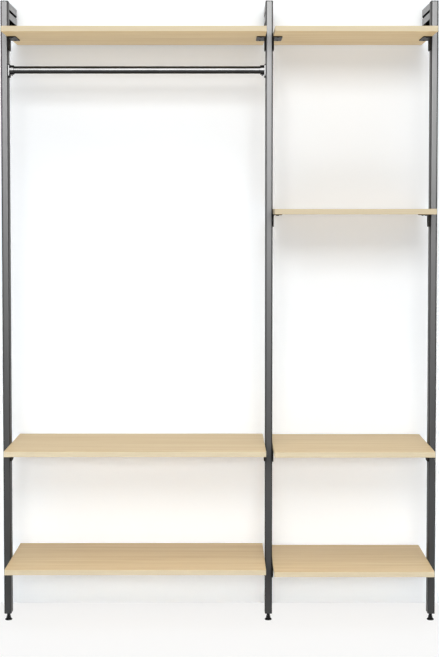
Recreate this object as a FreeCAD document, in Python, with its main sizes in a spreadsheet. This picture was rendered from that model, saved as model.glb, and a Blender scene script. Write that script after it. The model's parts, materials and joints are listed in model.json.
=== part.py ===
import FreeCAD, Part
import math
import os
import Sketcher

# Open closet system: three slotted posts tied to the wall by arms, boards on sliding brackets,
# and one hanging rod. X runs to the right, Y towards the wall, Z up; the feet stand on Z = 0.

# Driving dimensions in millimetres: name, value, meaning
DIMENSIONS = [
    ("overall_height", 2128, "floor to the top of the post caps"),
    ("bay_left", 875, "clear width between the left and centre posts"),
    ("bay_right", 537, "clear width between the centre and right posts"),
    ("wall_gap", 4, "back edge of the boards to the wall"),
    ("post_width", 25, "post section along X"),
    ("post_depth", 42, "post section along Y"),
    ("post_corner", 5.5, "outer corner radius of the post"),
    ("post_wall", 1.8, "wall of the post's hollow chambers"),
    ("post_setback", 147.5, "front edge of the boards to the front of the posts"),
    ("slot_mouth", 8.4, "opening of the side slots"),
    ("slot_lip", 1.8, "thickness of the lips beside the opening"),
    ("slot_width", 14, "slot chamber behind the lips, along Y"),
    ("slot_floor", 2.8, "slot chamber depth behind the lips, along X"),
    ("slot_web", 2.2, "web between a slot chamber and a hollow chamber"),
    ("slot_play", 0.2, "clearance of a tongue to the sides of the slot"),
    ("cap_thickness", 2.5, "post cap above the post's end"),
    ("cap_plug_gap", 1.5, "cap plugs to the screws below them in the hollow chambers"),
    ("plug_play", 0.15, "clearance of plugs in hollow sections"),
    ("screw_play", 0.05, "radial clearance of screws in their holes"),
    ("foot_height", 26, "floor to the lower end of the posts"),
    ("pad_radius", 12, "foot pad"),
    ("pad_thickness", 3.5, "foot pad disc"),
    ("pad_edge", 1.5, "rounding of the pad's upper edge"),
    ("pad_hub_radius", 8.5, "hub that holds the stem"),
    ("pad_hub_rise", 3, "hub above the pad disc"),
    ("pad_floor", 2, "pad below the stem's spigot"),
    ("spigot_radius", 4, "lower end of the stem in the pad"),
    ("hex_circumradius", 7.5, "wrench hexagon of the stem, to its corners"),
    ("hex_height", 7, "wrench hexagon of the stem"),
    ("hex_lift", 0.3, "hexagon above the pad's hub"),
    ("stem_radius", 6, "threaded stem"),
    ("stem_engaged", 45, "stem inside the post"),
    ("arm_width", 22, "wall arm along X"),
    ("arm_lobe", 31.5, "height of each of the arm's two lobes"),
    ("arm_groove", 1.2, "gap between the lobes beside the neck"),
    ("arm_groove_depth", 6, "that gap on each side of the arm"),
    ("arm_corner", 9.5, "rounding of the lobes' lower corners"),
    ("arm_wall", 2, "wall of the arm section"),
    ("connector_length", 14, "plug in each end of an arm"),
    ("wall_hole_radius", 2.75, "wall screw holes"),
    ("connector_screw_radius", 2, "screws that hold a plug to its post"),
    ("connector_screw_reach", 6, "those screws past the post's back face"),
    ("connector_head_radius", 4, "head of those screws"),
    ("connector_head_height", 2.8, "head of those screws"),
    ("lock_screw_radius", 2, "screws that lock an arm on its plugs"),
    ("lock_screw_length", 8, "those screws under the head"),
    ("lock_head_radius", 3.5, "head of those screws"),
    ("lock_head_height", 2, "head of those screws"),
    ("shelf_depth", 356, "boards along Y"),
    ("shelf_thickness", 18, "boards"),
    ("shelf_end_gap", 1.5, "end of a board to the post beside it"),
    ("shelf_edge", 1, "rounding of the boards' front and back edges"),
    ("top_drop", 124, "top of the post caps to the underside of the two top boards"),
    ("middle_level", 1404, "underside of the middle board"),
    ("lower_left_level", 598, "underside of the lower left board"),
    ("lower_right_level", 596.5, "underside of the lower right board"),
    ("bottom_left_level", 201.5, "underside of the bottom left board"),
    ("bottom_right_level", 195, "underside of the bottom right board"),
    ("bracket_reach", 31, "bracket wing from the post's side"),
    ("wing_depth", 102, "bracket wing along Y"),
    ("wing_corner", 5, "corner radius of the wing"),
    ("leg_depth", 50, "bracket leg along Y"),
    ("leg_height", 43, "bracket leg below the board"),
    ("leg_corner", 8, "rounding of the leg's lower corners"),
    ("plate_thickness", 3.2, "metal of brackets and rod holders"),
    ("plate_gap", 0.3, "plate to the post's side"),
    ("bracket_fillet", 4, "inside corner of the bracket"),
    ("tongue_play", 0.4, "head of a tongue to the floor of the slot"),
    ("bracket_tongue_drop", 8, "top of the bracket's tongue below the board"),
    ("bracket_tongue_inset", 3, "lower end of the tongue above the leg's lower edge"),
    ("clamp_radius", 2.5, "clamp screw"),
    ("clamp_socket", 1.45, "hexagon socket of the clamp screw, to its corners"),
    ("clamp_socket_depth", 2.5, "hexagon socket of the clamp screw"),
    ("board_screw_radius", 1.75, "screws from the wing into the board"),
    ("board_screw_cover", 7, "end of those screws to the board's upper face"),
    ("board_screw_tip", 0.6, "end of those screws to the bottom of their hole"),
    ("board_screw_edge", 17, "those screws from the front and back of the wing"),
    ("board_head_radius", 3.5, "head of those screws"),
    ("board_head_height", 2.2, "head of those screws"),
    ("rod_drop", 108, "underside of the top board to the axis of the hanging rod"),
    ("rod_radius", 12.5, "hanging rod"),
    ("rod_wall", 1.5, "wall of the hanging rod"),
    ("rod_end_gap", 0.3, "end of the rod to the holder's plate"),
    ("rod_play", 0.1, "clearance of the rod in its cups"),
    ("cup_wall", 3.4, "wall of the rod cup"),
    ("cup_length", 14, "rod cup from the holder's plate"),
    ("holder_rim", 3, "holder plate beyond its cup and its clamp screw"),
    ("holder_corner", 6, "corner radius of the holder plate"),
    ("holder_tongue_inset", 4.5, "ends of the holder's tongue inside the plate's ends"),
    ("holder_clamp_gap", 2, "cup to the clamp screw below it"),
]

# Places that follow from the dimensions
HALF_SPAN = "(2 * Dims.post_width + Dims.bay_left + Dims.bay_right) / 2"
POST_X = {
    "left": f"-{HALF_SPAN}",
    "centre": "(Dims.bay_left - Dims.bay_right) / 2",
    "right": HALF_SPAN,
}
WALL_Y = "(Dims.shelf_depth + Dims.wall_gap) / 2"
POST_Y = f"(Dims.post_setback + Dims.post_depth / 2 - {WALL_Y})"
POST_BACK_Y = f"({POST_Y} + Dims.post_depth / 2)"
SHELF_Y = "-Dims.wall_gap / 2"
POST_LENGTH = "(Dims.overall_height - Dims.cap_thickness - Dims.foot_height)"
ARM_HEIGHT = "(2 * Dims.arm_lobe + Dims.arm_groove)"
ARM_LENGTH = f"({WALL_Y} - {POST_BACK_Y})"
ARM_Z = f"(Dims.overall_height - {ARM_HEIGHT} / 2)"
LOBE_RISE = "((Dims.arm_lobe + Dims.arm_groove) / 2)"
SLOT_DEPTH = "(Dims.slot_lip + Dims.slot_floor)"
HOLLOW_INNER = "(Dims.slot_width / 2 + Dims.slot_web)"
HOLLOW_OUTER = "(Dims.post_depth / 2 - Dims.post_wall)"
HOLLOW_X = "(Dims.post_width - 2 * Dims.post_wall)"
PLATE_FACE = "(Dims.plate_gap + Dims.plate_thickness)"
CLAMP_LENGTH = f"({PLATE_FACE} + {SLOT_DEPTH})"
HUB_TOP = "(Dims.pad_thickness + Dims.pad_hub_rise)"
CUP_RADIUS = "(Dims.rod_radius + Dims.rod_play + Dims.cup_wall)"
TOP_LEVEL = "(Dims.overall_height - Dims.top_drop)"
ROD_Z = f"({TOP_LEVEL} - Dims.rod_drop)"
TOP_SCREW_DROP = "(Dims.arm_lobe / 2 - Dims.connector_screw_radius)"
PLUG_DEPTH = f"({TOP_SCREW_DROP} - Dims.cap_thickness - Dims.cap_plug_gap)"
TONGUE_HEAD = "(Dims.slot_floor - Dims.tongue_play)"
TONGUE_HEIGHT = "(Dims.leg_height - Dims.bracket_tongue_drop - Dims.bracket_tongue_inset)"
BRACKET_CLAMP_DROP = f"(Dims.bracket_tongue_drop + {TONGUE_HEIGHT} / 2)"
BOARD_SCREW_BITE = "(Dims.shelf_thickness - Dims.board_screw_cover)"
BOARD_SCREW_Y = "(Dims.wing_depth / 2 - Dims.board_screw_edge)"
BOARD_SCREW_X = f"((Dims.bracket_reach + {PLATE_FACE}) / 2)"
CUP_MIDDLE = f"({PLATE_FACE} + Dims.cup_length / 2)"
HOLDER_CLAMP_DROP = f"({CUP_RADIUS} + Dims.holder_clamp_gap + Dims.clamp_radius)"
HOLDER_ABOVE = f"({CUP_RADIUS} + Dims.holder_rim)"
HOLDER_BELOW = f"({HOLDER_CLAMP_DROP} + Dims.clamp_radius + Dims.holder_rim)"

# Boards: name, level, post at the left end, post at the right end, bay
SHELVES = [
    ("top_left", TOP_LEVEL, "left", "centre", "bay_left"),
    ("top_right", TOP_LEVEL, "centre", "right", "bay_right"),
    ("middle", "Dims.middle_level", "centre", "right", "bay_right"),
    ("lower_left", "Dims.lower_left_level", "left", "centre", "bay_left"),
    ("lower_right", "Dims.lower_right_level", "centre", "right", "bay_right"),
    ("bottom_left", "Dims.bottom_left_level", "left", "centre", "bay_left"),
    ("bottom_right", "Dims.bottom_right_level", "centre", "right", "bay_right"),
]
BAY_SIDES = ("left", "right")
PLUG_MIDDLE = "Dims.connector_length / 2"
ARM_ENDS = (PLUG_MIDDLE, f"({ARM_LENGTH} - {PLUG_MIDDLE})")

ALONG_X = FreeCAD.Vector(1, 0, 0)
ALONG_Y = FreeCAD.Vector(0, 1, 0)
UP = FreeCAD.Vector(0, 0, 1)
TURN = {"left": FreeCAD.Rotation(), "right": FreeCAD.Rotation(UP, 180)}
TO_POST = {"left": -ALONG_X, "right": ALONG_X}
SAME_PLACE = 1e-6

doc = FreeCAD.newDocument("closet_system")
sub_parts = []


def write_sheet():
    sheet = doc.addObject("Spreadsheet::Sheet", "Dims")
    for row, (name, value, meaning) in enumerate(DIMENSIONS, start=1):
        sheet.set(f"A{row}", name)
        sheet.set(f"B{row}", str(value))
        sheet.setAlias(f"B{row}", name)
        sheet.set(f"C{row}", meaning)
    doc.recompute()


def place(piece, x, y, z, turned=FreeCAD.Rotation()):
    """Put a piece at the given expressions, with the given rotation."""
    piece.Placement = FreeCAD.Placement(FreeCAD.Vector(), turned)
    for axis, expression in zip("xyz", (x, y, z)):
        piece.setExpression(f"Placement.Base.{axis}", expression)


def new_body(label):
    body = doc.addObject("PartDesign::Body", label)
    body.Label = label
    sub_parts.append(body)
    return body


def origin_plane(body, role):
    return next(item for item in body.Origin.OriginFeatures if item.Role == role)


def new_sketch(body, name, role, offset=("0", "0", "0")):
    """Sketch on one of the body's own origin planes, shifted along the plane's axes and normal."""
    sketch = body.newObject("Sketcher::SketchObject", name)
    sketch.AttachmentSupport = [(origin_plane(body, role), "")]
    sketch.MapMode = "FlatFace"
    for axis, expression in zip("xyz", offset):
        sketch.setExpression(f"AttachmentOffset.Base.{axis}", expression)
    return sketch


def size_of(expression):
    return float(doc.getObject("Dims").evalExpression(expression))


def bind(sketch, constraint, name, expression):
    index = sketch.addConstraint(constraint)
    sketch.renameConstraint(index, name)
    sketch.setExpression(f"Constraints.{name}", expression)


def draw_rectangle(sketch, width, height):
    """Rectangle centred on the sketch's origin."""
    half_w = size_of(width) / 2
    half_h = size_of(height) / 2
    signs = [(-1, -1), (1, -1), (1, 1), (-1, 1)]
    corners = [FreeCAD.Vector(sx * half_w, sy * half_h, 0) for sx, sy in signs]
    first = sketch.GeometryCount
    for i in range(4):
        sketch.addGeometry(Part.LineSegment(corners[i], corners[(i + 1) % 4]))
    for i in range(4):
        sketch.addConstraint(Sketcher.Constraint("Coincident", first + i, 2, first + (i + 1) % 4, 1))
        direction = "Horizontal" if i % 2 == 0 else "Vertical"
        sketch.addConstraint(Sketcher.Constraint(direction, first + i))
    sketch.addConstraint(Sketcher.Constraint("Symmetric", first, 1, first + 2, 1, -1, 1))
    right = first + 1
    bind(sketch, Sketcher.Constraint("DistanceX", first, 1, first, 2, 2 * half_w), "width", width)
    bind(sketch, Sketcher.Constraint("DistanceY", right, 1, right, 2, 2 * half_h), "height", height)


def draw_rounded_rectangle(sketch, width, height, radius):
    """Rectangle with round corners, centred on the sketch's origin."""
    half_w = size_of(width) / 2
    half_h = size_of(height) / 2
    corner = size_of(radius)
    flat_w = half_w - corner
    flat_h = half_h - corner
    ends = [
        ((-flat_w, -half_h), (flat_w, -half_h)),
        ((half_w, -flat_h), (half_w, flat_h)),
        ((flat_w, half_h), (-flat_w, half_h)),
        ((-half_w, flat_h), (-half_w, -flat_h)),
    ]
    for start, end in ends:
        sketch.addGeometry(Part.LineSegment(FreeCAD.Vector(*start, 0), FreeCAD.Vector(*end, 0)))
    centres = [(flat_w, -flat_h), (flat_w, flat_h), (-flat_w, flat_h), (-flat_w, -flat_h)]
    for i, centre in enumerate(centres):
        circle = Part.Circle(FreeCAD.Vector(*centre, 0), UP, corner)
        sketch.addGeometry(Part.ArcOfCircle(circle, math.radians(90 * (i - 1)), math.radians(90 * i)))
    for i in range(4):
        sketch.addConstraint(Sketcher.Constraint("Tangent", i, 2, 4 + i, 1))
        sketch.addConstraint(Sketcher.Constraint("Tangent", 4 + i, 2, (i + 1) % 4, 1))
        direction = "Horizontal" if i % 2 == 0 else "Vertical"
        sketch.addConstraint(Sketcher.Constraint(direction, i))
    for i in range(3):
        sketch.addConstraint(Sketcher.Constraint("Equal", 4, 5 + i))
    sketch.addConstraint(Sketcher.Constraint("Symmetric", 4, 3, 6, 3, -1, 1))
    bind(sketch, Sketcher.Constraint("Radius", 4, corner), "corner", radius)
    bind(sketch, Sketcher.Constraint("DistanceX", 3, 1, 1, 1, 2 * half_w), "width", width)
    bind(sketch, Sketcher.Constraint("DistanceY", 0, 1, 2, 1, 2 * half_h), "height", height)


def draw_circle(sketch, radius):
    """Circle about the sketch's origin."""
    index = sketch.addGeometry(Part.Circle(FreeCAD.Vector(), UP, size_of(radius)))
    sketch.addConstraint(Sketcher.Constraint("Coincident", index, 3, -1, 1))
    bind(sketch, Sketcher.Constraint("Radius", index, size_of(radius)), f"radius_{index}", radius)


def extrude(kind, body, sketch, length, backwards=False):
    feature = body.newObject(f"PartDesign::{kind}", f"{sketch.Name}_{kind.lower()}")
    feature.Profile = sketch
    feature.setExpression("Length", length)
    feature.Reversed = backwards
    sketch.Visibility = False
    return feature


def pad(body, sketch, length, backwards=False):
    return extrude("Pad", body, sketch, length, backwards)


def pocket(body, sketch, length, backwards=False):
    """Cut a sketch out and make sure that material really went."""
    feature = extrude("Pocket", body, sketch, length, backwards)
    doc.recompute([feature])
    if feature.Shape.Volume >= feature.BaseFeature.Shape.Volume:
        raise RuntimeError(f"{body.Label}: {sketch.Name} cuts nothing")
    return feature


def mirrored(body, feature, role):
    """Repeat a feature on the other side of one of the body's origin planes."""
    mirror = body.newObject("PartDesign::Mirrored", f"{feature.Name}_mirrored")
    mirror.Originals = [feature]
    mirror.MirrorPlane = (origin_plane(body, role), [""])
    body.Tip = mirror
    doc.recompute([mirror])


def fillet(body, name, radius, chosen):
    """Round the edges of the body's last feature for which chosen(edge) is true."""
    base = body.Tip
    doc.recompute([base])
    edges = [f"Edge{i}" for i, edge in enumerate(base.Shape.Edges, start=1) if chosen(edge)]
    if not edges:
        raise RuntimeError(f"{body.Label}: {name} finds no edge")
    rounding = body.newObject("PartDesign::Fillet", name)
    rounding.Base = (base, edges)
    rounding.setExpression("Radius", radius)
    doc.recompute([rounding])


def is_straight_along(edge, axis):
    """True for a straight edge along the given unit vector."""
    if not isinstance(edge.Curve, (Part.Line, Part.LineSegment)):
        return False
    return abs(abs(edge.tangentAt(edge.FirstParameter).dot(axis)) - 1) < SAME_PLACE


def drill(body, name, role, offset, radius, length, backwards=False):
    """Round hole from one of the body's origin planes, shifted by the offset."""
    sketch = new_sketch(body, name, role, offset)
    draw_circle(sketch, radius)
    return pocket(body, sketch, length, backwards)


def cylinder(name, radius, height, x, y, z, axis=UP):
    """Cylinder that starts at the given expressions and runs along axis."""
    piece = doc.addObject("Part::Cylinder", name)
    piece.setExpression("Radius", radius)
    piece.setExpression("Height", height)
    place(piece, x, y, z, FreeCAD.Rotation(UP, axis))
    return piece


def combined(kind, name, base, tool):
    piece = doc.addObject(f"Part::{kind}", name)
    piece.Base = base
    piece.Tool = tool
    return piece


def group(label, solids):
    """Identical fasteners that share one node."""
    bundle = doc.addObject("Part::Compound", label)
    bundle.Label = label
    bundle.Links = solids
    sub_parts.append(bundle)


def add_post(side):
    body = new_body(f"{side}_post")
    outline = new_sketch(body, f"{side}_post_outline", "XY_Plane")
    draw_rounded_rectangle(outline, "Dims.post_width", "Dims.post_depth", "Dims.post_corner")
    pad(body, outline, POST_LENGTH)
    drill(body, f"{side}_post_bore", "XY_Plane", ("0", "0", "0"),
          "Dims.stem_radius + Dims.screw_play", POST_LENGTH, True)
    mouth_x = "Dims.post_width / 2 - Dims.slot_lip / 2"
    floor_x = "Dims.post_width / 2 - Dims.slot_lip - Dims.slot_floor / 2"
    mouth = new_sketch(body, f"{side}_post_slot_mouth", "XY_Plane", (mouth_x, "0", "0"))
    draw_rectangle(mouth, "Dims.slot_lip", "Dims.slot_mouth")
    mirrored(body, pocket(body, mouth, POST_LENGTH, True), "YZ_Plane")
    chamber = new_sketch(body, f"{side}_post_slot_chamber", "XY_Plane", (floor_x, "0", "0"))
    draw_rectangle(chamber, "Dims.slot_floor", "Dims.slot_width")
    mirrored(body, pocket(body, chamber, POST_LENGTH, True), "YZ_Plane")
    hollow_y = f"({HOLLOW_INNER} + {HOLLOW_OUTER}) / 2"
    hollow = new_sketch(body, f"{side}_post_hollow", "XY_Plane", ("0", hollow_y, "0"))
    draw_rounded_rectangle(hollow, HOLLOW_X, f"{HOLLOW_OUTER} - {HOLLOW_INNER}",
                           "Dims.post_corner - Dims.post_wall")
    mirrored(body, pocket(body, hollow, POST_LENGTH, True), "XZ_Plane")
    for name, sign in (("upper", "+"), ("lower", "-")):
        height = f"{ARM_Z} - Dims.foot_height {sign} {LOBE_RISE}"
        drill(body, f"{side}_post_{name}_screw_hole", "XZ_Plane", ("0", height, f"-{HOLLOW_OUTER}"),
              "Dims.connector_screw_radius + Dims.screw_play", "Dims.post_wall")
    place(body, POST_X[side], POST_Y, "Dims.foot_height")


def add_cap(side):
    body = new_body(f"{side}_post_cap")
    outline = new_sketch(body, f"{side}_cap_outline", "XY_Plane")
    draw_rounded_rectangle(outline, "Dims.post_width", "Dims.post_depth", "Dims.post_corner")
    pad(body, outline, "Dims.cap_thickness")
    plug_y = f"({HOLLOW_INNER} + {HOLLOW_OUTER}) / 2"
    plug = new_sketch(body, f"{side}_cap_plug", "XY_Plane", ("0", plug_y, "0"))
    draw_rounded_rectangle(plug, f"{HOLLOW_X} - 2 * Dims.plug_play",
                           f"{HOLLOW_OUTER} - {HOLLOW_INNER} - 2 * Dims.plug_play",
                           "Dims.post_corner - Dims.post_wall - Dims.plug_play")
    mirrored(body, pad(body, plug, PLUG_DEPTH, True), "XZ_Plane")
    place(body, POST_X[side], POST_Y, "Dims.overall_height - Dims.cap_thickness")


def add_foot(side):
    pad_body = new_body(f"{side}_foot_pad")
    disc = new_sketch(pad_body, f"{side}_pad_disc", "XY_Plane")
    draw_circle(disc, "Dims.pad_radius")
    pad(pad_body, disc, "Dims.pad_thickness")
    upper_edge = size_of("Dims.pad_thickness")
    fillet(pad_body, f"{side}_pad_rounding", "Dims.pad_edge",
           lambda edge: abs(edge.CenterOfMass.z - upper_edge) < SAME_PLACE)
    hub = new_sketch(pad_body, f"{side}_pad_hub", "XY_Plane")
    draw_circle(hub, "Dims.pad_hub_radius")
    pad(pad_body, hub, HUB_TOP)
    drill(pad_body, f"{side}_pad_socket", "XY_Plane", ("0", "0", "Dims.pad_floor"),
          "Dims.spigot_radius + Dims.screw_play", f"{HUB_TOP} - Dims.pad_floor", True)
    place(pad_body, POST_X[side], POST_Y, "0")

    stem = new_body(f"{side}_foot_stem")
    spigot = new_sketch(stem, f"{side}_stem_spigot", "XY_Plane", ("0", "0", "Dims.pad_floor"))
    draw_circle(spigot, "Dims.spigot_radius")
    thread_start = f"{HUB_TOP} + Dims.hex_lift + Dims.hex_height / 2"
    pad(stem, spigot, f"{thread_start} - Dims.pad_floor")
    hexagon = stem.newObject("PartDesign::AdditivePrism", f"{side}_stem_hexagon")
    hexagon.Polygon = 6
    hexagon.setExpression("Circumradius", "Dims.hex_circumradius")
    hexagon.setExpression("Height", "Dims.hex_height")
    hexagon.setExpression("Placement.Base.z", f"{HUB_TOP} + Dims.hex_lift")
    thread = new_sketch(stem, f"{side}_stem_thread", "XY_Plane", ("0", "0", thread_start))
    draw_circle(thread, "Dims.stem_radius")
    pad(stem, thread, f"Dims.foot_height + Dims.stem_engaged - ({thread_start})")
    place(stem, POST_X[side], POST_Y, "0")


def draw_arm_section(body, prefix, inset):
    """Sketches of two lobes, flat above and round below, and of their neck, inset from the arm's outline."""
    width = f"Dims.arm_width - 2 * ({inset})"
    half_height = f"(Dims.arm_lobe / 2 - ({inset}))"
    sketches = []
    for name, sign in (("upper", ""), ("lower", "-")):
        middle = f"{sign}{LOBE_RISE}"
        lobe = new_sketch(body, f"{prefix}_{name}_lobe", "XZ_Plane", ("0", middle, "0"))
        draw_rounded_rectangle(lobe, width, f"2 * {half_height}", f"Dims.arm_corner - ({inset})")
        shoulder_offset = ("0", f"{middle} + {half_height} / 2", "0")
        shoulder = new_sketch(body, f"{prefix}_{name}_shoulder", "XZ_Plane", shoulder_offset)
        draw_rectangle(shoulder, width, half_height)
        sketches += [lobe, shoulder]
    neck = new_sketch(body, f"{prefix}_neck", "XZ_Plane")
    draw_rectangle(neck, f"Dims.arm_width - 2 * (Dims.arm_groove_depth + {inset})",
                   "Dims.arm_groove + Dims.arm_lobe")
    sketches.append(neck)
    return sketches


def add_arm(side):
    body = new_body(f"{side}_wall_arm")
    for sketch in draw_arm_section(body, f"{side}_arm", "0"):
        pad(body, sketch, ARM_LENGTH, True)
    for sketch in draw_arm_section(body, f"{side}_arm_hollow", "Dims.arm_wall"):
        pocket(body, sketch, ARM_LENGTH)
    for number, end in enumerate(ARM_ENDS, start=1):
        drill(body, f"{side}_arm_lock_hole_{number}", "XY_Plane", ("0", end, f"-{ARM_HEIGHT} / 2"),
              "Dims.lock_screw_radius + Dims.screw_play", "Dims.arm_wall", True)
    place(body, POST_X[side], POST_BACK_Y, ARM_Z)


def fill_connector(body, prefix, hole_radius):
    """Plug that fills the arm's hollow, with two holes along Y and one for the lock screw."""
    for sketch in draw_arm_section(body, prefix, "Dims.arm_wall + Dims.plug_play"):
        pad(body, sketch, "Dims.connector_length", True)
    for name, sign in (("upper", ""), ("lower", "-")):
        drill(body, f"{prefix}_{name}_hole", "XZ_Plane", ("0", f"{sign}{LOBE_RISE}", "0"),
              hole_radius, "Dims.connector_length")
    drill(body, f"{prefix}_lock_hole", "XY_Plane", ("0", PLUG_MIDDLE, f"-{ARM_HEIGHT} / 2"),
          "Dims.lock_screw_radius + Dims.screw_play", "Dims.lock_screw_length + Dims.plug_play", True)


def add_wall_connector(side):
    body = new_body(f"{side}_wall_connector")
    fill_connector(body, f"{side}_wall_plug", "Dims.wall_hole_radius")
    place(body, POST_X[side], f"{WALL_Y} - Dims.connector_length", ARM_Z)


def add_post_connectors():
    """The three plugs that hold the arms to the posts, their screws, and the arms' lock screws."""
    plugs = []
    screws = []
    locks = []
    for side, x in POST_X.items():
        body = doc.addObject("PartDesign::Body", f"{side}_post_plug")
        fill_connector(body, f"{side}_post_plug", "Dims.connector_screw_radius + Dims.screw_play")
        place(body, x, POST_BACK_Y, ARM_Z)
        plugs.append(body)
        for name, sign in (("upper", "+"), ("lower", "-")):
            z = f"{ARM_Z} {sign} {LOBE_RISE}"
            shank = cylinder(f"{side}_{name}_plug_shank", "Dims.connector_screw_radius",
                             "Dims.connector_screw_reach + Dims.connector_length",
                             x, f"{POST_BACK_Y} - Dims.connector_screw_reach", z, ALONG_Y)
            head = cylinder(f"{side}_{name}_plug_head", "Dims.connector_head_radius",
                            "Dims.connector_head_height",
                            x, f"{POST_BACK_Y} + Dims.connector_length", z, ALONG_Y)
            screws.append(combined("Fuse", f"{side}_{name}_plug_screw", shank, head))
        for number, end in enumerate(ARM_ENDS, start=1):
            y = f"{POST_BACK_Y} + {end}"
            under = f"{ARM_Z} - {ARM_HEIGHT} / 2"
            shank = cylinder(f"{side}_lock_shank_{number}", "Dims.lock_screw_radius",
                             "Dims.lock_screw_length", x, y, under)
            head = cylinder(f"{side}_lock_head_{number}", "Dims.lock_head_radius",
                            "Dims.lock_head_height", x, y, f"{under} - Dims.lock_head_height")
            locks.append(combined("Fuse", f"{side}_lock_screw_{number}", shank, head))
    group("post_connectors", plugs)
    group("post_connector_screws", screws)
    group("arm_lock_screws", locks)


def add_tongue(body, prefix, height, middle):
    """Tongue behind a plate: a neck through the slot's mouth and a head behind its lips."""
    neck = new_sketch(body, f"{prefix}_tongue_neck", "YZ_Plane", ("0", middle, "Dims.plate_gap"))
    draw_rectangle(neck, "Dims.slot_mouth - 2 * Dims.slot_play", height)
    pad(body, neck, "Dims.plate_gap + Dims.slot_lip", True)
    head = new_sketch(body, f"{prefix}_tongue_head", "YZ_Plane", ("0", middle, "-Dims.slot_lip"))
    draw_rectangle(head, "Dims.slot_width - 2 * Dims.slot_play", height)
    pad(body, head, TONGUE_HEAD, True)


def add_clamp_hole(body, prefix, height):
    drill(body, f"{prefix}_clamp_hole", "YZ_Plane", ("0", height, PLATE_FACE),
          "Dims.clamp_radius + Dims.screw_play", CLAMP_LENGTH)


def add_bracket(label, side, x, level):
    """Bracket at one end of a board: wing under the board, leg down the post, tongue in the slot."""
    body = new_body(label)
    wing_x = "(Dims.bracket_reach + Dims.plate_gap) / 2"
    wing = new_sketch(body, f"{label}_wing", "XY_Plane", (wing_x, "0", "0"))
    draw_rounded_rectangle(wing, "Dims.bracket_reach - Dims.plate_gap", "Dims.wing_depth",
                           "Dims.wing_corner")
    pad(body, wing, "Dims.plate_thickness", True)
    leg = new_sketch(body, f"{label}_leg", "YZ_Plane", ("0", "-Dims.leg_height / 2", "Dims.plate_gap"))
    draw_rectangle(leg, "Dims.leg_depth", "Dims.leg_height")
    pad(body, leg, "Dims.plate_thickness")
    leg_foot = -size_of("Dims.leg_height")
    fillet(body, f"{label}_leg_corners", "Dims.leg_corner",
           lambda edge: is_straight_along(edge, ALONG_X)
           and abs(edge.CenterOfMass.z - leg_foot) < SAME_PLACE)
    inside_x = size_of(PLATE_FACE)
    inside_z = -size_of("Dims.plate_thickness")
    fillet(body, f"{label}_inside_corner", "Dims.bracket_fillet",
           lambda edge: is_straight_along(edge, ALONG_Y)
           and abs(edge.CenterOfMass.x - inside_x) < SAME_PLACE
           and abs(edge.CenterOfMass.z - inside_z) < SAME_PLACE)
    add_tongue(body, label, TONGUE_HEIGHT, f"-{BRACKET_CLAMP_DROP}")
    add_clamp_hole(body, label, f"-{BRACKET_CLAMP_DROP}")
    hole = drill(body, f"{label}_screw_hole", "XY_Plane", (BOARD_SCREW_X, BOARD_SCREW_Y, "0"),
                 "Dims.board_screw_radius + Dims.screw_play", "Dims.plate_thickness")
    mirrored(body, hole, "XZ_Plane")
    place(body, x, POST_Y, level, TURN[side])


def clamp_screw(name, x, y, z, axis):
    """Grub screw with a hexagon socket; it starts at its socket end and runs along axis."""
    shank = cylinder(f"{name}_shank", "Dims.clamp_radius", CLAMP_LENGTH, x, y, z, axis)
    socket = doc.addObject("Part::Prism", f"{name}_socket")
    socket.Polygon = 6
    socket.setExpression("Circumradius", "Dims.clamp_socket")
    socket.setExpression("Height", "Dims.clamp_socket_depth")
    place(socket, x, y, z, FreeCAD.Rotation(UP, axis))
    return combined("Cut", name, shank, socket)


def inward(side, start, distance):
    """X at a distance from a start towards the middle of the bay."""
    sign = "+" if side == "left" else "-"
    return f"({start} {sign} ({distance}))"


def post_side(side, post):
    """X of the post face that one end of a bay's pieces stands against."""
    return inward(side, POST_X[post], "Dims.post_width / 2")


def add_shelf(name, level, left_post, right_post, bay):
    board = new_body(f"{name}_shelf")
    outline = new_sketch(board, f"{name}_board", "XY_Plane")
    length = f"Dims.{bay} - 2 * Dims.shelf_end_gap"
    draw_rectangle(outline, length, "Dims.shelf_depth")
    pad(board, outline, "Dims.shelf_thickness")
    fillet(board, f"{name}_board_edges", "Dims.shelf_edge", lambda edge: is_straight_along(edge, ALONG_X))
    screw_x = f"(Dims.{bay} / 2 - {BOARD_SCREW_X})"
    hole_depth = f"{BOARD_SCREW_BITE} + Dims.board_screw_tip"
    for front, sign in (("front", "-"), ("back", "+")):
        hole_y = f"{POST_Y} - ({SHELF_Y}) {sign} {BOARD_SCREW_Y}"
        hole = drill(board, f"{name}_board_{front}_hole", "XY_Plane", (screw_x, hole_y, "0"),
                     "Dims.board_screw_radius + Dims.screw_play", hole_depth, True)
        mirrored(board, hole, "YZ_Plane")
    middle_x = f"({POST_X[left_post]} + {POST_X[right_post]}) / 2"
    place(board, middle_x, SHELF_Y, level)

    clamps = []
    screws = []
    for side, post in zip(BAY_SIDES, (left_post, right_post)):
        face = post_side(side, post)
        add_bracket(f"{name}_bracket_{side}", side, face, level)
        clamps.append(clamp_screw(f"{name}_clamp_{side}", inward(side, face, PLATE_FACE), POST_Y,
                                  f"{level} - {BRACKET_CLAMP_DROP}", TO_POST[side]))
        x = inward(side, face, BOARD_SCREW_X)
        wing_under = f"{level} - Dims.plate_thickness"
        for front, sign in (("front", "-"), ("back", "+")):
            y = f"{POST_Y} {sign} {BOARD_SCREW_Y}"
            shank = cylinder(f"{name}_{side}_{front}_shank", "Dims.board_screw_radius",
                             f"Dims.plate_thickness + {BOARD_SCREW_BITE}", x, y, wing_under)
            head = cylinder(f"{name}_{side}_{front}_head", "Dims.board_head_radius",
                            "Dims.board_head_height", x, y, f"{wing_under} - Dims.board_head_height")
            screws.append(combined("Fuse", f"{name}_{side}_{front}_screw", shank, head))
    group(f"{name}_clamp_screws", clamps)
    group(f"{name}_board_screws", screws)


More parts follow.
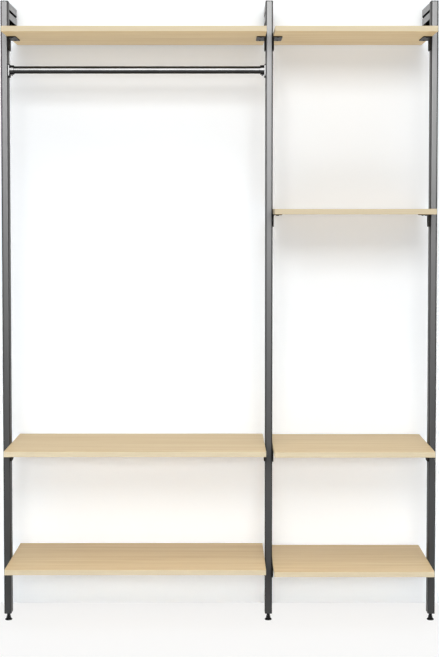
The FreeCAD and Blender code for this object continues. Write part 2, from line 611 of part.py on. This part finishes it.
def add_rod_holder(side, x):
    """Plate with a tongue in the post's slot and a cup for the rod's end."""
    label = f"rod_holder_{side}"
    body = new_body(label)
    middle = f"({HOLDER_ABOVE} - {HOLDER_BELOW}) / 2"
    height = f"({HOLDER_ABOVE} + {HOLDER_BELOW})"
    plate = new_sketch(body, f"{label}_plate", "YZ_Plane", ("0", middle, "Dims.plate_gap"))
    draw_rounded_rectangle(plate, f"2 * {HOLDER_ABOVE}", height, "Dims.holder_corner")
    pad(body, plate, "Dims.plate_thickness")
    cup = new_sketch(body, f"{label}_cup", "YZ_Plane", ("0", "0", PLATE_FACE))
    draw_circle(cup, CUP_RADIUS)
    pad(body, cup, "Dims.cup_length")
    drill(body, f"{label}_cup_bore", "YZ_Plane", ("0", "0", PLATE_FACE),
          "Dims.rod_radius + Dims.rod_play", "Dims.cup_length", True)
    add_tongue(body, label, f"{height} - 2 * Dims.holder_tongue_inset", middle)
    add_clamp_hole(body, label, f"-{HOLDER_CLAMP_DROP}")
    drill(body, f"{label}_set_hole", "XY_Plane", (CUP_MIDDLE, "0", f"-{CUP_RADIUS}"),
          "Dims.clamp_radius + Dims.screw_play", CUP_RADIUS, True)
    place(body, x, POST_Y, ROD_Z, TURN[side])


def add_hanging_rod():
    """The rod, its two holders and their screws."""
    rod = new_body("hanging_rod")
    section = new_sketch(rod, "hanging_rod_section", "YZ_Plane")
    draw_circle(section, "Dims.rod_radius")
    draw_circle(section, "Dims.rod_radius - Dims.rod_wall")
    rod_inset = f"({PLATE_FACE} + Dims.rod_end_gap)"
    pad(rod, section, f"Dims.bay_left - 2 * {rod_inset}")
    place(rod, inward("left", post_side("left", "left"), rod_inset), POST_Y, ROD_Z)

    screws = []
    for side, post in zip(BAY_SIDES, ("left", "centre")):
        face = post_side(side, post)
        add_rod_holder(side, face)
        screws.append(clamp_screw(f"rod_clamp_{side}", inward(side, face, PLATE_FACE), POST_Y,
                                  f"{ROD_Z} - {HOLDER_CLAMP_DROP}", TO_POST[side]))
        set_z = f"{ROD_Z} - Dims.rod_radius - Dims.screw_play - {CLAMP_LENGTH}"
        screws.append(clamp_screw(f"rod_set_{side}", inward(side, face, CUP_MIDDLE), POST_Y, set_z, UP))
    group("rod_holder_screws", screws)


def check_document():
    """Stop if any object failed or any sub-part has no valid shape."""
    for item in doc.Objects:
        if "Invalid" in item.State or "Error" in item.State:
            raise RuntimeError(f"{item.Label} failed: {item.State}")
    for piece in sub_parts:
        if piece.Shape.isNull() or not piece.Shape.isValid():
            raise RuntimeError(f"{piece.Label} has no valid shape")


write_sheet()
for post_name in POST_X:
    add_post(post_name)
    add_cap(post_name)
    add_foot(post_name)
    add_arm(post_name)
    add_wall_connector(post_name)
add_post_connectors()
for shelf in SHELVES:
    add_shelf(*shelf)
add_hanging_rod()
doc.recompute()
check_document()

os.makedirs("parts", exist_ok=True)
for piece in sub_parts:
    piece.Shape.exportStep(f"parts/{piece.Label}.step")
print(len(sub_parts), "sub-parts written")
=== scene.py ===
import json
import math

import bpy
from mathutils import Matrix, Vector


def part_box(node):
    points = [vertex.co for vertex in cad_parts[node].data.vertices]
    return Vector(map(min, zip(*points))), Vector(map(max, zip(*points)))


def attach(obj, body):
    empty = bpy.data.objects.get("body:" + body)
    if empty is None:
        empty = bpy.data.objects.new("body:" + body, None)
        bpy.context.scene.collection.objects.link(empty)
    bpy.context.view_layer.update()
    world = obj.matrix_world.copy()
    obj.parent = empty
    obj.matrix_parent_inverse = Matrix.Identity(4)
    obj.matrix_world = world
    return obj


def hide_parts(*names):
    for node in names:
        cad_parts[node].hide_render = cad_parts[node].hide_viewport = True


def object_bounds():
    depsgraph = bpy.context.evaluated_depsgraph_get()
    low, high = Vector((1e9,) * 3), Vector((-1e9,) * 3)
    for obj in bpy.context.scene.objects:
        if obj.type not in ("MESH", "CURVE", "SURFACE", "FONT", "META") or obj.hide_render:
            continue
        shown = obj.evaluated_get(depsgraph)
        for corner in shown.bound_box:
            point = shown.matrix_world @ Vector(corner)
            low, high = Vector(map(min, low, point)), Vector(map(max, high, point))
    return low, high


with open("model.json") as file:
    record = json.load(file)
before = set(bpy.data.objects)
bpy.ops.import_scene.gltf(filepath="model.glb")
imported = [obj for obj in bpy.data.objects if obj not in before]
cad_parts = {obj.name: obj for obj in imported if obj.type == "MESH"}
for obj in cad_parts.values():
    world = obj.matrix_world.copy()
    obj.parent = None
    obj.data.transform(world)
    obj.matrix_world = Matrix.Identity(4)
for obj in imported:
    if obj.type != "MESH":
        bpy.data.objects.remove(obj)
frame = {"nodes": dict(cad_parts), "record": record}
cad_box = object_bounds()

# Camera that was fitted to the photograph's edges: pixels, metres, radians and millimetres of sensor
IMAGE_HEIGHT = 657
FOCAL_PIXELS = 1302.66
HORIZON_PIXELS = 262.71
CAMERA_PLACE = (0.0, -4.4784, 1.4126)
CAMERA_PITCH = 0.0391
SENSOR = 36.0

# The lamps are a little cool, which evens out the warm light that the boards throw back
LAMP_COLOUR = (0.94, 0.975, 1.0)
NEUTRAL = (1.0, 1.0, 1.0)
WARM = (1.0, 0.97, 0.93)
WALL_TINT = (0.82, 1.0, 1.22)
WORLD_LIGHT = 0.36

# Floor and wall in metres; the wall is paler towards the floor, below the last height, where its extra glow
# is painted light
STAGE_REACH = 9.0
WALL_HEIGHT = 7.0
WALL_GAP = 0.001
PAINTED_LIGHT_HEIGHT = 0.32

# Noise values mostly lie in this span
NOISE_SPAN = (0.3, 0.7)

# Birch foil: noise scales by axis, shift from board to board, and tones from dark to light streaks
STREAK_SCALE = (1.6, 48.0, 48.0)
PORE_SCALE = (9.0, 620.0, 620.0)
BOARD_SHIFT = (7.0, 3.0, 5.0)
TOP_TONES = [(0.28, (0.70, 0.51, 0.275)), (0.50, (0.77, 0.585, 0.335)), (0.72, (0.82, 0.65, 0.40))]
# Deeper, warmer tones of the undersides are painted shade
PAINTED_SHADE_TONES = [(0.28, (0.74, 0.525, 0.255)), (0.50, (0.81, 0.595, 0.30)), (0.72, (0.86, 0.66, 0.36))]
EDGE_TONES = [(0.28, (0.585, 0.485, 0.33)), (0.72, (0.645, 0.55, 0.385))]
PORE_TONES = [(0.25, (0.90, 0.88, 0.85)), (0.55, (1.0, 1.0, 1.0))]
PORE_SHARE = 0.5
PAINTED_SHADE_FACING = -0.5

# Dark finishes: base colours, noise scales, relief in metres, and how far dark and light clouds differ
ANTHRACITE = (0.018, 0.018, 0.0185)
GLOSS_BLACK = (0.042, 0.042, 0.042)
POWDER_BLACK = (0.010, 0.008, 0.006)
MOULDED_BLACK = (0.006, 0.006, 0.0062)
ZINC_BLACK = (0.028, 0.028, 0.03)
CLOUD_SCALE = (14.0, 14.0, 14.0)
CLOUD_DARK = 0.85
LINE_RELIEF = 0.0002
LINE_DENT = 0.03
COAT_RELIEF = 0.0003
COAT_LIGHT = 1.25

# Facing, from 0 on a side to -1 below, between which a finish changes to that of the underside; on the arms
# that underside is painted shade
ARM_SHADE_TURN = (-0.14, -0.03)
COAT_TURN = (-0.9, -0.5)
# Share of the arms' colour kept on their undersides, as painted shade
ARM_PAINTED_SHADE = 0.2

# Foot stem in metres: thread, wrench hexagon and the spigot in the pad
THREAD_PITCH = 0.0015
THREAD_CREST = 0.00595
THREAD_ROOT = 0.0049
HEX_CORNER = 0.0075
HEX_FACE = 0.0062
HEX_START = 0.0048
HEX_HEIGHT = 0.007
SPIGOT = 0.004

# Points round the stem, rows for each turn of the thread, steepness of its flanks and width of its valley
STEM_STEPS = 48
THREAD_ROWS = 8
THREAD_FLANK = 3.4
THREAD_VALLEY = 0.35


class Graph:
    """A node tree with short calls for adding and linking nodes."""

    def __init__(self, tree):
        self.tree = tree

    def add(self, kind, inputs=None, **settings):
        node = self.tree.nodes.new(kind)
        for name, value in settings.items():
            setattr(node, name, value)
        for name, value in (inputs or {}).items():
            self.feed(node.inputs[name], value)
        return node

    def feed(self, socket, value):
        if isinstance(value, bpy.types.NodeSocket):
            self.tree.links.new(value, socket)
        else:
            socket.default_value = value

    def noise(self, vector, detail, rough=0.55, distortion=0.0):
        node = self.add("ShaderNodeTexNoise", {
            "Vector": vector, "Scale": 1.0, "Detail": detail, "Roughness": rough, "Distortion": distortion,
        })
        return node.outputs["Fac"]

    def scaled(self, vector, scale):
        node = self.add("ShaderNodeMapping", {"Vector": vector, "Scale": scale})
        return node.outputs["Vector"]

    def compute(self, operation, *values):
        node = self.add("ShaderNodeMath", dict(enumerate(values)), operation=operation)
        return node.outputs[0]

    def mapped(self, value, low, high, span=(0.0, 1.0)):
        """The value's span stretched to run from low to high."""
        node = self.add("ShaderNodeMapRange", {
            "Value": value, "From Min": span[0], "From Max": span[1], "To Min": low, "To Max": high,
        })
        return node.outputs["Result"]

    def mixed(self, share, first, second, blend="MIX"):
        node = self.add("ShaderNodeMix", {"Factor": share, "A": first, "B": second},
                        data_type="RGBA", blend_type=blend)
        return node.outputs[2]

    def ramp(self, value, stops):
        node = self.add("ShaderNodeValToRGB", {"Fac": value})
        elements = node.color_ramp.elements
        while len(elements) < len(stops):
            elements.new(0.5)
        for element, (position, colour) in zip(elements, stops):
            element.position = position
            element.color = (*colour, 1.0)
        return node.outputs["Color"]

    def bump(self, height, strength, distance):
        node = self.add("ShaderNodeBump", {"Height": height, "Strength": strength, "Distance": distance})
        return node.outputs["Normal"]

    def facing(self):
        """How far the surface faces up: 1 on top, 0 on the sides, -1 below."""
        normal = self.add("ShaderNodeTexCoord").outputs["Normal"]
        return self.add("ShaderNodeSeparateXYZ", {"Vector": normal}).outputs["Z"]

    def seen(self):
        """1 for what the camera sees, also in reflections and through clear pieces, else 0."""
        rays = self.add("ShaderNodeLightPath").outputs
        seen = self.compute("MAXIMUM", rays["Is Camera Ray"], rays["Is Glossy Ray"])
        return self.compute("MAXIMUM", seen, rays["Is Transmission Ray"])


def new_material(name):
    material = bpy.data.materials.new(name)
    material.use_nodes = True
    graph = Graph(material.node_tree)
    shader = material.node_tree.nodes["Principled BSDF"]
    place = graph.add("ShaderNodeTexCoord").outputs["Object"]
    return material, graph, shader, place


def board_material():
    """Pale birch foil with long soft streaks along X and fine pores, a greyer tone on the edges, and painted
    shade in deeper, warmer tones on the undersides.
    """
    material, graph, shader, place = new_material("birch_foil")
    chance = graph.add("ShaderNodeObjectInfo").outputs["Random"]
    shift = graph.add("ShaderNodeVectorMath", {0: BOARD_SHIFT, "Scale": chance}, operation="SCALE")
    moved = graph.add("ShaderNodeVectorMath", {0: place, 1: shift.outputs["Vector"]}, operation="ADD")
    grain = moved.outputs["Vector"]
    streaks = graph.noise(graph.scaled(grain, STREAK_SCALE), detail=5.0, rough=0.6, distortion=0.35)
    pores = graph.noise(graph.scaled(grain, PORE_SCALE), detail=2.0)
    facing = graph.facing()
    # Faces turned down take the deeper, warmer tones of painted shade
    under = graph.compute("LESS_THAN", facing, PAINTED_SHADE_FACING)
    level = graph.compute("ABSOLUTE", facing)
    top_or_painted_shade = graph.mixed(under, graph.ramp(streaks, TOP_TONES), graph.ramp(streaks, PAINTED_SHADE_TONES))
    tone = graph.mixed(level, graph.ramp(streaks, EDGE_TONES), top_or_painted_shade)
    colour = graph.mixed(PORE_SHARE, tone, graph.ramp(pores, PORE_TONES), blend="MULTIPLY")
    graph.feed(shader.inputs["Base Color"], colour)
    graph.feed(shader.inputs["Roughness"], graph.mapped(streaks, low=0.56, high=0.48, span=NOISE_SPAN))
    graph.feed(shader.inputs["Normal"], graph.bump(pores, strength=0.06, distance=0.0004))
    graph.feed(shader.inputs["Specular IOR Level"], graph.mapped(level, low=0.06, high=0.42))
    return material


def lined_material(name, colour, stretch, rough, dent=LINE_DENT):
    """Smooth dark finish whose fine lines run along the axis with the small stretch value."""
    material, graph, shader, place = new_material(name)
    lines = graph.noise(graph.scaled(place, stretch), detail=3.0)
    cloud = graph.noise(graph.scaled(place, CLOUD_SCALE), detail=2.0)
    darker = tuple(CLOUD_DARK * part for part in colour)
    graph.feed(shader.inputs["Base Color"], graph.ramp(cloud, [(0.3, darker), (0.7, colour)]))
    graph.feed(shader.inputs["Roughness"], graph.mapped(lines, *rough, span=NOISE_SPAN))
    graph.feed(shader.inputs["Normal"], graph.bump(lines, dent, LINE_RELIEF))
    return material, shader


def lacquer_material(name, colour, stretch, rough, shine):
    """Lacquer over metal, with a clear gloss."""
    material, shader = lined_material(name, colour, stretch, rough)
    shader.inputs["Specular IOR Level"].default_value = shine
    return material


def plated_material(name, colour, stretch, rough, edge, dent):
    """Dark plating; edge is the share of the glancing reflection that it keeps."""
    material, shader = lined_material(name, colour, stretch, rough, dent)
    shader.inputs["Metallic"].default_value = 1.0
    shader.inputs["Specular Tint"].default_value = (edge, edge, edge, 1.0)
    return material


def arm_material(name, colour, stretch, rough, shine):
    """Satin lacquer like the posts' on the arms' sides, with painted shade on their round undersides: a
    darker colour and no gloss.
    """
    material, graph, shader, place = new_material(name)
    lines = graph.noise(graph.scaled(place, stretch), detail=3.0)
    # Painted shade: faces turned down get a darker colour and lose their gloss
    unshaded_share = graph.mapped(graph.facing(), low=0.0, high=1.0, span=ARM_SHADE_TURN)
    black = tuple(ARM_PAINTED_SHADE * part for part in colour)
    graph.feed(shader.inputs["Base Color"], graph.ramp(unshaded_share, [(0.0, black), (1.0, colour)]))
    graph.feed(shader.inputs["Specular IOR Level"], graph.compute("MULTIPLY", unshaded_share, shine))
    graph.feed(shader.inputs["Roughness"], graph.mapped(lines, *rough, span=NOISE_SPAN))
    graph.feed(shader.inputs["Normal"], graph.bump(lines, LINE_DENT, LINE_RELIEF))
    return material


def coat_material(name, colour, pitch, rough, dent, shine, under_rough=None):
    """Paint or moulded plastic with an even fine texture, smoother on undersides where that is given."""
    material, graph, shader, place = new_material(name)
    shader.inputs["Specular IOR Level"].default_value = shine
    skin = graph.noise(graph.scaled(place, (pitch, pitch, pitch)), detail=2.0)
    lighter = tuple(COAT_LIGHT * part for part in colour)
    graph.feed(shader.inputs["Base Color"], graph.ramp(skin, [(0.35, colour), (0.65, lighter)]))
    finish = graph.mapped(skin, *rough, span=NOISE_SPAN)
    if under_rough:
        finish = graph.mapped(graph.facing(), low=under_rough, high=finish, span=COAT_TURN)
    graph.feed(shader.inputs["Roughness"], finish)
    graph.feed(shader.inputs["Normal"], graph.bump(skin, dent, COAT_RELIEF))
    return material


MATERIALS = {
    "board": board_material(),
    "post": lacquer_material(
        "anthracite_satin", ANTHRACITE, stretch=(850.0, 850.0, 1.5), rough=(0.38, 0.44), shine=0.35),
    "arm": arm_material(
        "arm_satin", ANTHRACITE, stretch=(850.0, 1.5, 850.0), rough=(0.20, 0.26), shine=0.52),
    "rod": plated_material(
        "black_gloss", GLOSS_BLACK, stretch=(1.5, 700.0, 700.0), rough=(0.26, 0.32), edge=0.1, dent=0.01),
    "bracket": coat_material(
        "black_powder_coat", POWDER_BLACK, pitch=1400.0, rough=(0.60, 0.70), dent=0.10, shine=0.05,
        under_rough=0.40),
    "plastic": coat_material(
        "black_moulding", MOULDED_BLACK, pitch=2200.0, rough=(0.50, 0.62), dent=0.08, shine=0.08),
    "fastener": plated_material(
        "black_zinc", ZINC_BLACK, stretch=(600.0, 600.0, 600.0), rough=(0.26, 0.38), edge=1.0, dent=0.03),
}


def look_of(entry):
    """The material that a node takes: the arms have their own, the others that of their slot."""
    return "arm" if entry["node"].endswith("_wall_arm") else entry["material_slot"]


def dress_nodes():
    """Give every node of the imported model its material."""
    for entry in frame["record"]["subparts"]:
        node = frame["nodes"][entry["node"]]
        node.data.materials.clear()
        node.data.materials.append(MATERIALS[look_of(entry)])


def tube_mesh(rings, low_point, high_point):
    """Vertices and faces of stacked rings, closed at both ends by a point."""
    count = len(rings[0])
    vertices = [low_point, *(point for ring in rings for point in ring), high_point]
    last = len(vertices) - 1
    faces = []
    for step in range(count):
        following = (step + 1) % count
        faces.append((0, 1 + following, 1 + step))
        for row in range(len(rings) - 1):
            low = 1 + row * count
            high = low + count
            faces.append((low + step, low + following, high + following, high + step))
        faces.append((last - count + step, last - count + following, last))
    return vertices, faces


def ring(reach, height):
    """Ring of points about the Z axis; reach and height give radius and level for a direction."""
    points = []
    for step in range(STEM_STEPS):
        turn = 2 * math.pi * step / STEM_STEPS
        points.append((reach(turn) * math.cos(turn), reach(turn) * math.sin(turn), height(turn)))
    return points


def circle(radius, height):
    return ring(lambda turn: radius, lambda turn: height)


def hexagon_reach(turn):
    """Distance from the axis to a regular hexagon's side in that direction."""
    return HEX_CORNER * math.cos(math.pi / 6) / math.cos(turn % (math.pi / 3) - math.pi / 6)


def hexagon_cut(turn):
    """How far the turned ends of the hexagon drop in that direction."""
    return (hexagon_reach(turn) - HEX_FACE) * math.tan(math.pi / 6)


def thread_reach(height, low, high):
    """Radius of the thread by direction at a height; it runs out at both ends."""
    fade = min(1.0, (height - low) / THREAD_PITCH, (high - height) / THREAD_PITCH)

    def reach(turn):
        share = (height / THREAD_PITCH - turn / (2 * math.pi)) % 1.0
        ridge = min(1.0, max(0.0, THREAD_FLANK * (0.5 - abs(share - 0.5)) - THREAD_VALLEY))
        return THREAD_ROOT + (THREAD_CREST - THREAD_ROOT) * ridge * fade

    return reach


def add_foot_thread(side):
    """Threaded stem with its wrench hexagon and the spigot in the pad, in place of the plain stem."""
    node = f"{side}_foot_stem"
    low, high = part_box(node)
    axis = (low + high) / 2
    hexagon_low = low.z + HEX_START
    hexagon_high = hexagon_low + HEX_HEIGHT
    rings = [
        circle(SPIGOT, low.z),
        circle(SPIGOT, hexagon_low),
        circle(HEX_FACE, hexagon_low),
        ring(hexagon_reach, lambda turn: hexagon_low + hexagon_cut(turn)),
        ring(hexagon_reach, lambda turn: hexagon_high - hexagon_cut(turn)),
        circle(HEX_FACE, hexagon_high),
    ]
    rows = int((high.z - hexagon_high) / THREAD_PITCH * THREAD_ROWS)
    for row in range(rows + 1):
        level = hexagon_high + (high.z - hexagon_high) * row / rows
        rings.append(ring(thread_reach(level, hexagon_high, high.z), lambda turn, level=level: level))
    vertices, faces = tube_mesh(rings, (0.0, 0.0, low.z), (0.0, 0.0, high.z))
    mesh = bpy.data.meshes.new(f"{side}_foot_thread")
    mesh.from_pydata([(x + axis.x, y + axis.y, z) for x, y, z in vertices], [], faces)
    mesh.materials.append(MATERIALS["fastener"])
    thread = bpy.data.objects.new(f"{side}_foot_thread", mesh)
    bpy.context.scene.collection.objects.link(thread)
    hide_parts(node)
    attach(thread, node)


def add_plane(name, corners, material):
    mesh = bpy.data.meshes.new(name)
    mesh.from_pydata([Vector(corner) for corner in corners], [], [(0, 1, 2, 3)])
    mesh.materials.append(material)
    plane = bpy.data.objects.new(name, mesh)
    bpy.context.scene.collection.objects.link(plane)
    return plane


def stage_material(name, tone, seen_tone, glow, painted_low_light=0.0, tint=NEUTRAL, one_sided=False):
    """Matt white surface that looks paper white to the camera and in reflections, and keeps shadows."""
    material = bpy.data.materials.new(name)
    material.use_nodes = True
    tree = material.node_tree
    tree.nodes.remove(tree.nodes["Principled BSDF"])
    graph = Graph(tree)
    seen = graph.seen()
    place = graph.add("ShaderNodeTexCoord").outputs["Object"]
    height = graph.add("ShaderNodeSeparateXYZ", {"Vector": place}).outputs["Z"]
    # Painted light: the glow grows towards the floor
    glow_and_painted_light = graph.mapped(height, low=glow + painted_low_light, high=glow, span=(0.0, PAINTED_LIGHT_HEIGHT))
    strength = graph.compute("MULTIPLY", seen, glow_and_painted_light)
    shade = graph.mapped(seen, low=tone, high=seen_tone)
    matt = graph.add("ShaderNodeBsdfDiffuse", {"Color": shade}).outputs[0]
    light = graph.add("ShaderNodeEmission", {"Color": (*tint, 1.0), "Strength": strength}).outputs[0]
    surface = graph.add("ShaderNodeAddShader", {0: matt, 1: light}).outputs[0]
    if one_sided:
        back = graph.add("ShaderNodeNewGeometry").outputs["Backfacing"]
        clear = graph.add("ShaderNodeBsdfTransparent").outputs[0]
        surface = graph.add("ShaderNodeMixShader", {"Fac": back, 1: surface, 2: clear}).outputs[0]
    tree.links.new(surface, tree.nodes["Material Output"].inputs["Surface"])
    return material


def add_stage():
    """Floor, and a wall just behind the arms that only the camera in front of it sees."""
    left = -STAGE_REACH
    right = STAGE_REACH
    floor_white = stage_material("floor_white", tone=0.94, seen_tone=0.18, glow=0.80)
    add_plane("floor", [(left, left, 0), (right, left, 0), (right, right, 0), (left, right, 0)], floor_white)
    place = cad_box[1].y + WALL_GAP
    wall_white = stage_material("wall_white", tone=0.90, seen_tone=0.95, glow=0.095, painted_low_light=0.09,
                                tint=WALL_TINT, one_sided=True)
    foot = [(left, place, 0), (right, place, 0)]
    head = [(right, place, WALL_HEIGHT), (left, place, WALL_HEIGHT)]
    wall = add_plane("wall", foot + head, wall_white)
    wall.visible_diffuse = False
    wall.visible_glossy = False
    wall.visible_transmission = False
    wall.visible_shadow = False


def add_world(lit):
    """Even soft light, with a white background for the camera and in reflections."""
    world = bpy.data.worlds.new("studio")
    world.use_nodes = True
    bpy.context.scene.world = world
    graph = Graph(world.node_tree)
    background = world.node_tree.nodes["Background"]
    background.inputs["Color"].default_value = (1.0, 1.0, 1.0, 1.0)
    graph.feed(background.inputs["Strength"], graph.mapped(graph.seen(), low=lit, high=1.0))


def add_softbox(name, place, target, size, power, lights=True, mirrored=False, spread=180.0,
                colour=LAMP_COLOUR):
    """Area lamp that lights surfaces, shows in reflections, or both; spread is in degrees."""
    light = bpy.data.lights.new(name, "AREA")
    light.shape = "RECTANGLE"
    light.size, light.size_y = size
    light.energy = power
    light.spread = math.radians(spread)
    light.color = colour
    lamp = bpy.data.objects.new(name, light)
    lamp.location = place
    lamp.visible_diffuse = lights
    lamp.visible_glossy = mirrored
    lamp.rotation_euler = (Vector(target) - Vector(place)).to_track_quat("-Z", "Y").to_euler()
    bpy.context.scene.collection.objects.link(lamp)
    return lamp


def shine_on_metal(lamp):
    """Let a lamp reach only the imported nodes, but not the boards and the arms."""
    metal = bpy.data.collections.new("shining_pieces")
    for entry in frame["record"]["subparts"]:
        if look_of(entry) not in ("board", "arm"):
            metal.objects.link(frame["nodes"][entry["node"]])
    lamp.light_linking.receiver_collection = metal


def add_lamps():
    """Soft lamps in front, below and above, and one that shows only as a highlight on dark pieces."""
    add_softbox("front_softbox", place=(0.0, -4.7, 3.5), target=(0.0, 0.0, 1.4), size=(3.6, 1.5), power=119.0)
    shine = add_softbox("front_shine", place=(0.0, -4.4, 3.1), target=(0.0, 0.0, 1.4), size=(3.8, 3.4),
                        power=1260.0, lights=False, mirrored=True, colour=NEUTRAL)
    shine_on_metal(shine)
    add_softbox("low_softbox", place=(0.0, -3.6, 1.3), target=(0.0, 0.18, 0.15), size=(4.0, 0.6), power=6.2,
                spread=38.0)
    add_softbox("top_softbox", place=(0.0, -1.6, 4.4), target=(0.0, 0.0, 0.6), size=(3.5, 1.6), power=50.0)
    add_softbox("floor_bounce", place=(0.0, -2.4, 0.05), target=(0.0, -0.1, 2.0), size=(4.0, 1.5), power=10.0,
                spread=75.0, colour=WARM)


def add_camera():
    data = bpy.data.cameras.new("photo_camera")
    data.sensor_width = SENSOR
    data.lens = FOCAL_PIXELS / IMAGE_HEIGHT * SENSOR
    data.shift_y = (HORIZON_PIXELS - IMAGE_HEIGHT / 2) / IMAGE_HEIGHT
    camera = bpy.data.objects.new("photo_camera", data)
    camera.location = CAMERA_PLACE
    camera.rotation_euler = (math.pi / 2 - CAMERA_PITCH, 0.0, 0.0)
    bpy.context.scene.collection.objects.link(camera)
    bpy.context.scene.camera = camera


dress_nodes()
for side_name in ("left", "centre", "right"):
    add_foot_thread(side_name)
add_stage()
add_world(WORLD_LIGHT)
add_lamps()
add_camera()
bpy.context.scene.view_settings.view_transform = "Standard"
